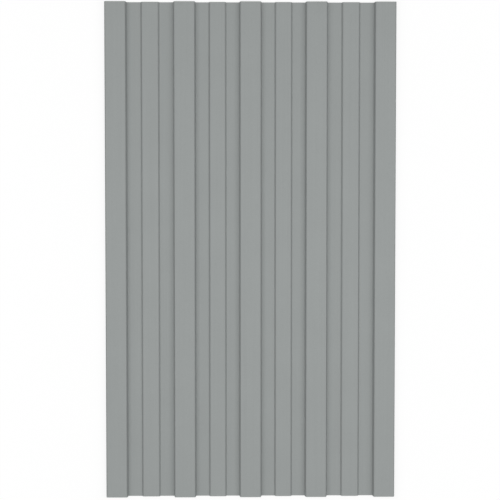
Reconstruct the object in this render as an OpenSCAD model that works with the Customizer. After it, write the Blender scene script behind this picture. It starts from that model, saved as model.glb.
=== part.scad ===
// Trapezoidal roofing sheet: one coated steel sheet, roll-formed lengthwise.
// Tall ribs carry the load and lap over the next sheet. The pan between two
// tall ribs has one low stiffening rib along its middle.
// X runs across the ribs, Y along them and Z up from the underside of the pans.

/* [Sheet] */
// Length along the ribs
sheet_l = 600; // [300:10:1200]
// Thickness of the coated steel
sheet_t = 0.5; // [0.4:0.05:0.7]
// Radius on the inside of every bend
bend_r = 0.7; // [0.5:0.05:0.9]

/* [Tall ribs] */
// Height of the crowns above the pans
rib_h = 8; // [6:0.5:15]
// Width of a crown between its fold lines
crown_w = 24.2; // [15:0.1:35]
// Sideways run of a tall web from fold line to fold line
web_run = 1.3; // [0.8:0.1:3]
// Distance between the centre rib and the ribs next to it
inner_pitch = 79.7; // [70:0.1:100]
// Distance between an outer rib and the rib next to it
outer_pitch = 83; // [70:0.1:100]
// Height of the free side edges above the underside of the pans
edge_clearance = 2; // [0.5:0.25:3.5]

/* [Stiffening ribs] */
// Height of a stiffening rib above the pan
stiffener_h = 3; // [2.5:0.1:5]
// Sideways run of a stiffening rib's web from fold line to fold line
stiffener_run = 1.5; // [0.5:0.1:2.5]
// Share of the pan that the top of the stiffening rib takes
stiffener_share = 0.34; // [0.25:0.01:0.45]

/* [Hidden] */

// Flat steps in which each bend turns
bend_steps = 6;
// Bend radius and height of the sheet's middle surface
mid_r = bend_r + sheet_t / 2;
pan_z = sheet_t / 2;
crown_z = pan_z + rib_h;
stiffener_z = pan_z + stiffener_h;

// Centres of the tall ribs, from left to right
rib_x = [
    -inner_pitch - outer_pitch,
    -inner_pitch,
    0,
    inner_pitch,
    inner_pitch + outer_pitch
];
last_rib = len(rib_x) - 1;

// The free edge cuts the outer web off at its clearance
edge_drop_share = (crown_z - edge_clearance) / rib_h;
edge_x = rib_x[last_rib] + crown_w / 2 + web_run * edge_drop_share;

// Fold lines [x, z] of one raised strip: foot, top, top, foot
function strip_folds(x, top_w, run, z) = [
    [x - top_w / 2 - run, pan_z],
    [x - top_w / 2, z],
    [x + top_w / 2, z],
    [x + top_w / 2 + run, pan_z]
];

// Width of the pan floor between rib k and the next one
function pan_w(k) = rib_x[k + 1] - rib_x[k] - crown_w - 2 * web_run;

function tall_rib(k) = strip_folds(rib_x[k], crown_w, web_run, crown_z);

function stiffener(k) = strip_folds(
    (rib_x[k] + rib_x[k + 1]) / 2,
    pan_w(k) * stiffener_share,
    stiffener_run,
    stiffener_z
);

// Every fold line of the sheet's middle surface, from left to right. The outer
// ribs' outer feet give way to the free edges.
all_folds = [
    for (k = [0 : last_rib])
        each concat(tall_rib(k), k < last_rib ? stiffener(k) : [])
];
folds = [for (k = [1 : len(all_folds) - 2]) all_folds[k]];
path = concat([[-edge_x, edge_clearance]], folds, [[edge_x, edge_clearance]]);

// Heading of the straight run that starts at path point k, in degrees
function heading(k) = atan2(path[k + 1].y - path[k].y, path[k + 1].x - path[k].x);

// Unit vector to the left of a heading
function left_of(angle) = [-sin(angle), cos(angle)];

// One face of the bend at path point k, offset to the left of the middle surface
function bend_points(k, offset) =
    let (
        before = heading(k - 1),
        turn = heading(k) - before,
        side = sign(turn),
        setback = mid_r * tan(abs(turn) / 2),
        start = path[k] - setback * [cos(before), sin(before)],
        centre = start + side * mid_r * left_of(before)
    )
    [
        for (step = [0 : bend_steps])
            centre - (side * mid_r - offset) * left_of(before + turn * step / bend_steps)
    ];

// One whole face of the sheet, from the left edge to the right
function face_points(offset) = concat(
    [path[0] + offset * left_of(heading(0))],
    [for (k = [1 : len(path) - 2]) each bend_points(k, offset)],
    [path[len(path) - 1] + offset * left_of(heading(len(path) - 2))]
);

function reversed(list) = [for (k = [len(list) - 1 : -1 : 0]) list[k]];

module section() {
    polygon(concat(face_points(-sheet_t / 2), reversed(face_points(sheet_t / 2))));
}

module sheet() {
    color("#979b99")
        rotate([90, 0, 0])
            linear_extrude(height = sheet_l, center = true)
                section();
}

sheet();
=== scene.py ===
import math
import random
from collections import namedtuple

import bpy
from mathutils import Matrix, Vector
from mathutils.bvhtree import BVHTree


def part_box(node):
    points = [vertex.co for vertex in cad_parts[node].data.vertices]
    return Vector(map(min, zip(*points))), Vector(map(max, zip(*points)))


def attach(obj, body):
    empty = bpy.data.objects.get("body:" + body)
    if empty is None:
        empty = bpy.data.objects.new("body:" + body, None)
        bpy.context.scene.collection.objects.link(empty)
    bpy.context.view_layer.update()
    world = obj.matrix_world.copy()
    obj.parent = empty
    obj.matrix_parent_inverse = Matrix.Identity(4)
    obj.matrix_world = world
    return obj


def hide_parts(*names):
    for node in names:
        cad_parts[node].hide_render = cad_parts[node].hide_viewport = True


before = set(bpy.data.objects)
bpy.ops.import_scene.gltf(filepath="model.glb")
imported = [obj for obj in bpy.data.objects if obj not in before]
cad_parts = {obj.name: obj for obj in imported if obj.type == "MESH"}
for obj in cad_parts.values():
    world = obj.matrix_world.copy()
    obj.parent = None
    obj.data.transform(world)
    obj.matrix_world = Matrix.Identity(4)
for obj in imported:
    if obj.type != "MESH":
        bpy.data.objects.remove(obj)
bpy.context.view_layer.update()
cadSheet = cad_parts["sheet"]
print("frame loaded, nodes:", sorted(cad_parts))


# the sheet: one strip of coated steel, roll-formed lengthwise (all lengths in metres)

sheetShape = {
    "thickness": 0.0005,
    "bendRadius": 0.0007,        # inside of every bend
    "crownWidth": 0.0242,        # tall ribs, fold line to fold line
    "webRun": 0.0013,            # how far a tall web leans out
    "innerPitch": 0.0797,        # centre rib to its neighbours
    "outerPitch": 0.083,         # those to the lap ribs
    "stiffenerHeight": 0.003,
    "stiffenerRun": 0.0015,
    "stiffenerShare": 0.34,      # of the pan floor
    "edgeClearance": 0.002,      # free side edges above the ground
    "bendSteps": 8,
    "widestQuad": 0.004,
    "rowLength": 0.0125,
    "cutRounding": 0.00008,      # the shear rounds the cut edges a little
    "sharpAngle": 30,            # only the cut edges are sharper than this
    "slackDepth": 0.0001,        # the flat strips between two bends are never quite flat
    "slackLengths": (0.23, 0.13),
    "slackShares": (0.6, 0.4),
    "slackSeed": 11,
    "mapGap": 0.01,              # between the parts of the unrolled map
    "mapCut": 0.006,             # width of a cut edge there
}

# material slots of the sheet
topSlot, backSlot, cutSlot = 0, 1, 2

sheetLow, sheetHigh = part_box("sheet")
sheetLength = sheetHigh.y - sheetLow.y
ribHeight = sheetHigh.z - sheetLow.z - sheetShape["thickness"]

# a place on the section's middle surface, its normal, the two masks and the strip it is on
station = namedtuple("station", "place normal bend slack strip")


def foldLines(shape):
    # x, z of every fold on the middle surface, from the left edge to the right one
    panZ = shape["thickness"] / 2
    crownZ = panZ + ribHeight
    inner, outer = shape["innerPitch"], shape["outerPitch"]
    ribs = [-inner - outer, -inner, 0, inner, inner + outer]

    def strip(x, width, run, z):
        half = width / 2
        return [(x - half - run, panZ), (x - half, z), (x + half, z), (x + half + run, panZ)]

    folds = []
    for k, x in enumerate(ribs):
        folds += strip(x, shape["crownWidth"], shape["webRun"], crownZ)
        if k + 1 < len(ribs):
            panFloor = ribs[k + 1] - x - shape["crownWidth"] - 2 * shape["webRun"]
            top = panFloor * shape["stiffenerShare"]
            middle = (x + ribs[k + 1]) / 2
            folds += strip(middle, top, shape["stiffenerRun"], panZ + shape["stiffenerHeight"])

    # the outer webs stop short of the ground, so that sheets can lap
    drop = (crownZ - shape["edgeClearance"]) / ribHeight
    edgeX = ribs[-1] + shape["crownWidth"] / 2 + shape["webRun"] * drop
    folds[0] = (-edgeX, shape["edgeClearance"])
    folds[-1] = (edgeX, shape["edgeClearance"])
    return [Vector(fold) for fold in folds]


def sectionStations(shape):
    # flat strips in even quads, with an arc of short steps at each fold
    folds = foldLines(shape)
    radius = shape["bendRadius"] + shape["thickness"] / 2
    runs = [(b - a).normalized() for a, b in zip(folds, folds[1:])]
    turns = [a.angle_signed(b) * -1 for a, b in zip(runs, runs[1:])]
    setbacks = [0] + [radius * math.tan(abs(turn) / 2) for turn in turns] + [0]

    stations = []
    for k, run in enumerate(runs):
        normal = Vector((-run.y, run.x))
        start = folds[k] + run * setbacks[k]
        end = folds[k + 1] - run * setbacks[k + 1]
        quads = math.ceil((end - start).length / shape["widestQuad"])
        for n in range(quads + 1):
            share = n / quads
            place = start.lerp(end, share)
            stations.append(station(place, normal, 0, math.sin(math.pi * share), k))
        if k < len(turns):
            side = math.copysign(1, turns[k])
            centre = end + normal * side * radius
            for n in range(1, shape["bendSteps"]):
                share = n / shape["bendSteps"]
                turned = Matrix.Rotation(turns[k] * share, 2) @ normal
                place = centre - turned * side * radius
                stations.append(station(place, turned, math.sin(math.pi * share), 0, k))
    return stations


def roundedCuts(shape, stations):
    # one more station and one more row at each cut, where the edge is rounded
    rounding = shape["cutRounding"]
    first, last = stations[0], stations[-1]
    firstRun = Vector((first.normal.y, -first.normal.x))
    lastRun = Vector((last.normal.y, -last.normal.x))
    inFirst = first._replace(place=first.place + firstRun * rounding)
    inLast = last._replace(place=last.place - lastRun * rounding)
    stations = [first, inFirst] + stations[1:-1] + [inLast, last]

    rowCount = round(sheetLength / shape["rowLength"])
    rows = [sheetLow.y + sheetLength * n / rowCount for n in range(rowCount + 1)]
    rows = [rows[0], rows[0] + rounding] + rows[1:-1] + [rows[-1] - rounding, rows[-1]]
    return stations, rows


def slackAt(shape, phases, y):
    # how far a flat strip stands proud at y along the rib
    total = 0
    for length, share, phase in zip(shape["slackLengths"], shape["slackShares"], phases):
        total += share * (1 + math.sin(2 * math.pi * y / length + phase)) / 2
    return total * shape["slackDepth"]


def sheetSpots(shape, stations, rows):
    # points of the top and then of the back, row by row, with the bend mask of each
    half, rounding = shape["thickness"] / 2, shape["cutRounding"]
    draws = random.Random(shape["slackSeed"])
    strips = stations[-1].strip + 1
    phases = [[draws.uniform(0, 2 * math.pi) for _ in shape["slackLengths"]] for _ in range(strips)]
    lastRow, lastStation = len(rows) - 1, len(stations) - 1

    spots, bendMask = [], []
    for face in (1, -1):
        for r, y in enumerate(rows):
            for k, at in enumerate(stations):
                cut = r in (0, lastRow) or k in (0, lastStation)
                offset = face * (half - (rounding if cut else 0))
                offset += at.slack * slackAt(shape, phases[at.strip], y)
                spot = at.place + at.normal * offset
                spots.append((spot.x, y, spot.y))
                bendMask.append(at.bend)
    return spots, bendMask


def sheetFaces(shape, stations, rows):
    # faces with their slots, and the unrolled map: top and back side by side, cut edges above
    count, lastRow = len(stations), len(rows) - 1
    gap, cutWide = shape["mapGap"], shape["mapCut"]
    along = [0]
    for a, b in zip(stations, stations[1:]):
        along.append(along[-1] + (b.place - a.place).length)
    width = along[-1]
    mapSize = 2 * width + 3 * gap
    faces, slots, maps = [], [], []

    def spotAt(side, r, k):
        return (side * len(rows) + r) * count + k

    def addFace(corners, slot, mapCorners, turned=False):
        order = slice(None, None, -1 if turned else 1)
        faces.append(corners[order])
        slots.append(slot)
        maps.extend(((gap + x) / mapSize, (gap + y) / mapSize) for x, y in mapCorners[order])

    for r in range(lastRow):
        y0, y1 = rows[r] - rows[0], rows[r + 1] - rows[0]
        for k in range(count - 1):
            x0, x1 = along[k], along[k + 1]
            onMap = [(x0, y0), (x1, y0), (x1, y1), (x0, y1)]
            backMap = [(x + width + gap, y) for x, y in onMap]
            corners = [(r, k), (r, k + 1), (r + 1, k + 1), (r + 1, k)]
            addFace([spotAt(0, *corner) for corner in corners], topSlot, onMap)
            addFace([spotAt(1, *corner) for corner in corners], backSlot, backMap, turned=True)
        for side, k in enumerate((0, count - 1)):
            x0, x1 = (side * (sheetLength + gap) + y for y in (y0, y1))
            z0 = sheetLength + gap
            z1 = z0 + cutWide
            edge = [spotAt(0, r, k), spotAt(0, r + 1, k), spotAt(1, r + 1, k), spotAt(1, r, k)]
            addFace(edge, cutSlot, [(x0, z0), (x1, z0), (x1, z1), (x0, z1)], turned=side == 1)
    for side, r in enumerate((0, lastRow)):
        z0 = sheetLength + gap + (1 + side) * (gap + cutWide)
        z1 = z0 + cutWide
        for k in range(count - 1):
            x0, x1 = along[k], along[k + 1]
            end = [spotAt(0, r, k + 1), spotAt(0, r, k), spotAt(1, r, k), spotAt(1, r, k + 1)]
            addFace(end, cutSlot, [(x1, z0), (x0, z0), (x0, z1), (x1, z1)], turned=side == 1)
    return faces, slots, maps


def makeSheet(shape):
    stations, rows = roundedCuts(shape, sectionStations(shape))
    spots, bendMask = sheetSpots(shape, stations, rows)
    faces, slots, maps = sheetFaces(shape, stations, rows)

    mesh = bpy.data.meshes.new("roofingSheet")
    mesh.from_pydata(spots, [], faces)
    mesh.polygons.foreach_set("material_index", slots)
    mesh.polygons.foreach_set("use_smooth", [True] * len(faces))
    mesh.attributes.new("bend", "FLOAT", "POINT").data.foreach_set("value", bendMask)
    unrolled = mesh.uv_layers.new(name="OFBake")
    unrolled.data.foreach_set("uv", [value for spot in maps for value in spot])
    mesh.validate()
    mesh.set_sharp_from_angle(angle=math.radians(shape["sharpAngle"]))
    sheet = bpy.data.objects.new("roofingSheet", mesh)
    bpy.context.scene.collection.objects.link(sheet)
    print("sheet made:", len(stations), "stations,", len(rows), "rows,", len(faces), "faces")
    return sheet


def farthestFromCad(piece):
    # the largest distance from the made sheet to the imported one, in millimetres
    points = [v.co for v in cadSheet.data.vertices]
    tree = BVHTree.FromPolygons(points, [tuple(p.vertices) for p in cadSheet.data.polygons])
    return 1000 * max(tree.find_nearest(v.co)[3] for v in piece.data.vertices)


sheet = makeSheet(sheetShape)
print("farthest from the packed sheet, mm:", round(farthestFromCad(sheet), 3))


# shader node groups that several finishes use

numberSocket, colourSocket = "NodeSocketFloat", "NodeSocketColor"
noiseDetail = {"Grain": 2.0, "Drift": 4.0, "Marks": 3.0}


def newGroup(name, inputs, outputs):
    group = bpy.data.node_groups.new(name, "ShaderNodeTree")
    for sockets, way in ((inputs, "INPUT"), (outputs, "OUTPUT")):
        for label, kind in sockets.items():
            group.interface.new_socket(name=label, in_out=way, socket_type=kind)
    return group, group.nodes.new("NodeGroupInput"), group.nodes.new("NodeGroupOutput")


def mathNode(tree, operation, a, b=0.0):
    node = tree.nodes.new("ShaderNodeMath")
    node.operation = operation
    for socket, value in zip(node.inputs, (a, b)):
        if isinstance(value, bpy.types.NodeSocket):
            tree.links.new(value, socket)
        else:
            socket.default_value = value
    return node.outputs[0]


def tone(tree, mask, low, high):
    # a colour or another tone at each end of the mask
    mix = tree.nodes.new("ShaderNodeMix")
    mix.data_type = "RGBA"
    tree.links.new(mask, mix.inputs["Factor"])
    for label, colour in (("A", low), ("B", high)):
        if isinstance(colour, bpy.types.NodeSocket):
            tree.links.new(colour, mix.inputs[label])
        else:
            mix.inputs[label].default_value = (*colour, 1)
    return mix.outputs["Result"]


def makeCoatGrain():
    # fine texture of a sprayed coat, and the slow drift of its tone
    group, inputs, outputs = newGroup(
        "coatGrain",
        {"Grain Size": numberSocket, "Drift Size": numberSocket},
        {"Grain": numberSocket, "Drift": numberSocket},
    )
    place = group.nodes.new("ShaderNodeTexCoord").outputs["Object"]
    for label in ("Grain", "Drift"):
        noise = group.nodes.new("ShaderNodeTexNoise")
        noise.inputs["Detail"].default_value = noiseDetail[label]
        group.links.new(place, noise.inputs["Vector"])
        scale = mathNode(group, "DIVIDE", 1.0, inputs.outputs[label + " Size"])
        group.links.new(scale, noise.inputs["Scale"])
        group.links.new(noise.outputs["Fac"], outputs.inputs[label])
    return group


def makeRollMarks():
    # faint lines that the forming rolls leave along the sheet
    group, inputs, outputs = newGroup(
        "rollMarks",
        {"Spacing": numberSocket, "Length": numberSocket},
        {"Marks": numberSocket},
    )
    place = group.nodes.new("ShaderNodeTexCoord").outputs["Object"]
    across = mathNode(group, "DIVIDE", 1.0, inputs.outputs["Spacing"])
    lengthwise = mathNode(group, "DIVIDE", 1.0, inputs.outputs["Length"])
    scale = group.nodes.new("ShaderNodeCombineXYZ")
    for axis, value in (("X", across), ("Y", lengthwise), ("Z", across)):
        group.links.new(value, scale.inputs[axis])
    stretched = group.nodes.new("ShaderNodeVectorMath")
    stretched.operation = "MULTIPLY"
    group.links.new(place, stretched.inputs[0])
    group.links.new(scale.outputs[0], stretched.inputs[1])
    noise = group.nodes.new("ShaderNodeTexNoise")
    noise.inputs["Scale"].default_value = 1.0
    noise.inputs["Detail"].default_value = noiseDetail["Marks"]
    group.links.new(stretched.outputs[0], noise.inputs["Vector"])
    group.links.new(noise.outputs["Fac"], outputs.inputs["Marks"])
    return group


def makePaintedBendShade():
    # forming pulls a coat a little smoother over every bend; its colour is also darkened there, as
    # painted shade of the folds
    group, inputs, outputs = newGroup(
        "paintedBendShade",
        {
            "Flat Tone": colourSocket,
            "Painted Bend Shade": colourSocket,
            "Flat Roughness": numberSocket,
            "Bend Gloss": numberSocket,
        },
        {"Tone": colourSocket, "Roughness": numberSocket},
    )
    bend = group.nodes.new("ShaderNodeAttribute")
    bend.attribute_name = "bend"
    mask = bend.outputs["Fac"]
    shadedBends = tone(group, mask, inputs.outputs["Flat Tone"], inputs.outputs["Painted Bend Shade"])
    group.links.new(shadedBends, outputs.inputs["Tone"])
    polish = mathNode(group, "MULTIPLY", mask, inputs.outputs["Bend Gloss"])
    smoothed = mathNode(group, "SUBTRACT", inputs.outputs["Flat Roughness"], polish)
    group.links.new(smoothed, outputs.inputs["Roughness"])
    return group


coatGrain = makeCoatGrain()
rollMarks = makeRollMarks()
paintedBendShade = makePaintedBendShade()
print("node groups made")


# finishes

noiseSpan = (0.3, 0.7)           # noise keeps to about these values

greyCoat = {
    "dark": (0.283, 0.299, 0.2955),
    "light": (0.347, 0.367, 0.3625),
    "bendShadeColour": (0.2835, 0.2997, 0.2961),  # painted shade: a darker colour over the bends, where the folds fall into shade
    "grainShare": 0.7,           # how much of the unevenness each mask makes
    "driftShare": 0.13,
    "markShare": 0.17,
    "grainSize": 0.0003,
    "driftSize": 0.05,
    "markSpacing": 0.0016,
    "markLength": 0.25,
    "roughness": (0.56, 0.68),
    "mattGrainShare": 0.5,       # the roll marks make the rest of the roughness
    "grainDepth": 0.00003,
    "specular": 0.14,
    "bendGloss": 0.06,           # the coat is pulled smoother over the bends
}

backCoat = {
    "dark": (0.2795, 0.2965, 0.292),
    "light": (0.3365, 0.3535, 0.349),
    # painted shade: a darker colour over the bends, where the folds fall into shade
    "bendShadeColour": (0.277, 0.2925, 0.2885),
    "grainShare": 0.67,
    "driftShare": 0.2,
    "markShare": 0.13,
    "grainSize": 0.0004,
    "driftSize": 0.03,
    "markSpacing": 0.0022,
    "markLength": 0.25,
    "roughness": (0.58, 0.72),
    "mattGrainShare": 0.5,
    "grainDepth": 0.00004,
    "specular": 0.12,
    "bendGloss": 0.03,
}

cutSteel = {
    "dark": (0.36, 0.37, 0.38),
    "light": (0.58, 0.59, 0.6),
    "roughness": (0.32, 0.5),
    "grainSize": 0.0003,
    "driftSize": 0.006,
    "grainDepth": 0.00002,
}


def newMaterial(name):
    material = bpy.data.materials.new(name)
    material.use_nodes = True
    return material, material.node_tree, material.node_tree.nodes["Principled BSDF"]


def placeGroup(tree, group, values):
    node = tree.nodes.new("ShaderNodeGroup")
    node.node_tree = group
    for label, value in values.items():
        node.inputs[label].default_value = value
    return node


def ranged(tree, value, low, high):
    # a noise or a mix of noises, spread from low to high
    node = tree.nodes.new("ShaderNodeMapRange")
    node.inputs["From Min"].default_value = noiseSpan[0]
    node.inputs["From Max"].default_value = noiseSpan[1]
    node.inputs["To Min"].default_value = low
    node.inputs["To Max"].default_value = high
    tree.links.new(value, node.inputs["Value"])
    return node.outputs["Result"]


def bumpNormal(tree, height, depth):
    bump = tree.nodes.new("ShaderNodeBump")
    bump.inputs["Distance"].default_value = depth
    tree.links.new(height, bump.inputs["Height"])
    return bump.outputs["Normal"]


def weighed(tree, *parts):
    # sum of masks, each with its share
    total = 0.0
    for mask, share in parts:
        total = mathNode(tree, "ADD", mathNode(tree, "MULTIPLY", mask, share), total)
    return total


def placeGrain(tree, finish):
    sizes = {"Grain Size": finish["grainSize"], "Drift Size": finish["driftSize"]}
    node = placeGroup(tree, coatGrain, sizes)
    return node.outputs["Grain"], node.outputs["Drift"]


def makeCoat(name, finish):
    material, tree, shader = newMaterial(name)
    grain, drift = placeGrain(tree, finish)
    lines = {"Spacing": finish["markSpacing"], "Length": finish["markLength"]}
    marks = placeGroup(tree, rollMarks, lines).outputs["Marks"]
    # the painted shade over the bends, and their smoother roughness
    bendShadeAndGloss = {"Painted Bend Shade": (*finish["bendShadeColour"], 1), "Bend Gloss": finish["bendGloss"]}
    bends = placeGroup(tree, paintedBendShade, bendShadeAndGloss)

    uneven = weighed(
        tree,
        (drift, finish["driftShare"]),
        (marks, finish["markShare"]),
        (grain, finish["grainShare"]),
    )
    flatTone = tone(tree, ranged(tree, uneven, 0, 1), finish["dark"], finish["light"])
    tree.links.new(flatTone, bends.inputs["Flat Tone"])
    grainPart = finish["mattGrainShare"]
    matt = weighed(tree, (grain, grainPart), (marks, 1 - grainPart))
    tree.links.new(ranged(tree, matt, *finish["roughness"]), bends.inputs["Flat Roughness"])

    tree.links.new(bends.outputs["Tone"], shader.inputs["Base Color"])
    tree.links.new(bends.outputs["Roughness"], shader.inputs["Roughness"])
    tree.links.new(bumpNormal(tree, grain, finish["grainDepth"]), shader.inputs["Normal"])
    shader.inputs["Specular IOR Level"].default_value = finish["specular"]
    return material


def makeCutSteel(name, finish):
    material, tree, shader = newMaterial(name)
    grain, drift = placeGrain(tree, finish)
    shade = tone(tree, ranged(tree, drift, 0, 1), finish["dark"], finish["light"])
    tree.links.new(shade, shader.inputs["Base Color"])
    tree.links.new(ranged(tree, grain, *finish["roughness"]), shader.inputs["Roughness"])
    tree.links.new(bumpNormal(tree, grain, finish["grainDepth"]), shader.inputs["Normal"])
    shader.inputs["Metallic"].default_value = 1.0
    return material


# in the order of the sheet's slots
sheet.data.materials.append(makeCoat("greyCoat", greyCoat))
sheet.data.materials.append(makeCoat("backCoat", backCoat))
sheet.data.materials.append(makeCutSteel("cutSteel", cutSteel))
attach(sheet, "root")
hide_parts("sheet")
print("finishes made:", [material.name for material in sheet.data.materials])


# studio: white floor, one wide softbox overhead and even light all round

studio = {
    "floorSize": 8.0,
    "floorDrop": 0.0003,         # keeps the floor clear of the sheet's underside
    "floorTint": 0.4,            # what the floor throws back at the sheet
    "floorShaded": 0.95,
    "floorGlow": (               # shadow-free share of its white by the way out from the sheet
        (-0.004, 0),
        (0, 0.8),
        (0.015, 0.955),
        (0.2, 1),
    ),
    "around": 0.38,
    "softbox": (2.8, 0.7),
    "softboxPlace": (0.116, -0.02, 1.45),
    "softboxPower": 19.4,
}


def grey(level):
    return (level, level, level, 1)


def seenDirectly(tree):
    # 1 for rays from the camera, for reflections and for what is seen through something clear
    path = tree.nodes.new("ShaderNodeLightPath")
    seen = mathNode(tree, "MAXIMUM", path.outputs["Is Camera Ray"], path.outputs["Is Glossy Ray"])
    return mathNode(tree, "MAXIMUM", seen, path.outputs["Is Transmission Ray"])


def shadowFree(tree):
    # share of the floor's white that no shadow dims: none under the sheet, all of it farther out
    place = tree.nodes.new("ShaderNodeTexCoord").outputs["Object"]
    away = tree.nodes.new("ShaderNodeVectorMath")
    away.operation = "ABSOLUTE"
    tree.links.new(place, away.inputs[0])
    split = tree.nodes.new("ShaderNodeSeparateXYZ")
    tree.links.new(away.outputs[0], split.inputs[0])
    pastSide = mathNode(tree, "SUBTRACT", split.outputs["X"], sheetHigh.x)
    pastEnd = mathNode(tree, "SUBTRACT", split.outputs["Y"], sheetHigh.y)
    nearest, farthest = studio["floorGlow"][0][0], studio["floorGlow"][-1][0]
    past = tree.nodes.new("ShaderNodeMapRange")
    past.inputs["From Min"].default_value = nearest
    past.inputs["From Max"].default_value = farthest
    tree.links.new(mathNode(tree, "MAXIMUM", pastSide, pastEnd), past.inputs["Value"])
    ramp = tree.nodes.new("ShaderNodeValToRGB")
    stops = ramp.color_ramp.elements
    stops.remove(stops[1])
    for k, (out, glow) in enumerate(studio["floorGlow"]):
        share = (out - nearest) / (farthest - nearest)
        stop = stops[0] if k == 0 else stops.new(share)
        stop.position = share
        stop.color = grey(glow)
    tree.links.new(past.outputs["Result"], ramp.inputs["Fac"])
    return ramp.outputs["Color"]


def makeFloor():
    half = studio["floorSize"] / 2
    z = sheetLow.z - studio["floorDrop"]
    corners = [(-half, -half, z), (half, -half, z), (half, half, z), (-half, half, z)]
    mesh = bpy.data.meshes.new("floor")
    mesh.from_pydata(corners, [], [(0, 1, 2, 3)])
    floor = bpy.data.objects.new("floor", mesh)
    bpy.context.scene.collection.objects.link(floor)

    material = bpy.data.materials.new("floorWhite")
    material.use_nodes = True
    tree = material.node_tree
    tree.nodes.clear()
    output = tree.nodes.new("ShaderNodeOutputMaterial")
    thrown = tree.nodes.new("ShaderNodeBsdfDiffuse")
    thrown.inputs["Color"].default_value = grey(studio["floorTint"])
    shaded = tree.nodes.new("ShaderNodeBsdfDiffuse")
    shaded.inputs["Color"].default_value = grey(studio["floorShaded"])
    glow = tree.nodes.new("ShaderNodeEmission")
    white = tree.nodes.new("ShaderNodeMixShader")
    tree.links.new(shadowFree(tree), white.inputs["Fac"])
    tree.links.new(shaded.outputs[0], white.inputs[1])
    tree.links.new(glow.outputs[0], white.inputs[2])
    both = tree.nodes.new("ShaderNodeMixShader")
    tree.links.new(seenDirectly(tree), both.inputs["Fac"])
    tree.links.new(thrown.outputs[0], both.inputs[1])
    tree.links.new(white.outputs[0], both.inputs[2])
    tree.links.new(both.outputs[0], output.inputs["Surface"])
    mesh.materials.append(material)


def makeWorld():
    world = bpy.data.worlds.new("studioWhite")
    world.use_nodes = True
    tree = world.node_tree
    background = tree.nodes["Background"]
    background.inputs["Color"].default_value = grey(1)
    level = tree.nodes.new("ShaderNodeMapRange")
    level.inputs["To Min"].default_value = studio["around"]
    tree.links.new(seenDirectly(tree), level.inputs["Value"])
    tree.links.new(level.outputs["Result"], background.inputs["Strength"])
    bpy.context.scene.world = world


def makeSoftbox():
    lamp = bpy.data.lights.new("softbox", "AREA")
    lamp.shape = "RECTANGLE"
    lamp.size, lamp.size_y = studio["softbox"]
    lamp.energy = studio["softboxPower"]
    softbox = bpy.data.objects.new("softbox", lamp)
    softbox.location = studio["softboxPlace"]
    softbox.visible_camera = False
    bpy.context.scene.collection.objects.link(softbox)


# the camera stands almost square above the sheet, a little towards its far end

view = {
    "lens": 87.28,
    "sensor": 36.0,
    "place": (-0.01783, 0.06136, 1.4728),
    "tilt": 2.338,
    "yaw": 0.669,
    "roll": 0.03,
}


def makeCamera():
    camera = bpy.data.cameras.new("camera")
    camera.sensor_width = view["sensor"]
    camera.lens = view["lens"]
    stand = bpy.data.objects.new("camera", camera)
    turn = Matrix.Identity(3)
    for axis, angle in (("X", view["tilt"]), ("Y", view["yaw"]), ("Z", view["roll"])):
        turn = turn @ Matrix.Rotation(math.radians(-angle), 3, axis)
    stand.rotation_euler = turn.to_euler()
    stand.location = view["place"]
    bpy.context.scene.collection.objects.link(stand)
    bpy.context.scene.camera = stand


makeFloor()
makeWorld()
makeSoftbox()
makeCamera()
bpy.context.scene.view_settings.view_transform = "Standard"
print("studio and camera ready")
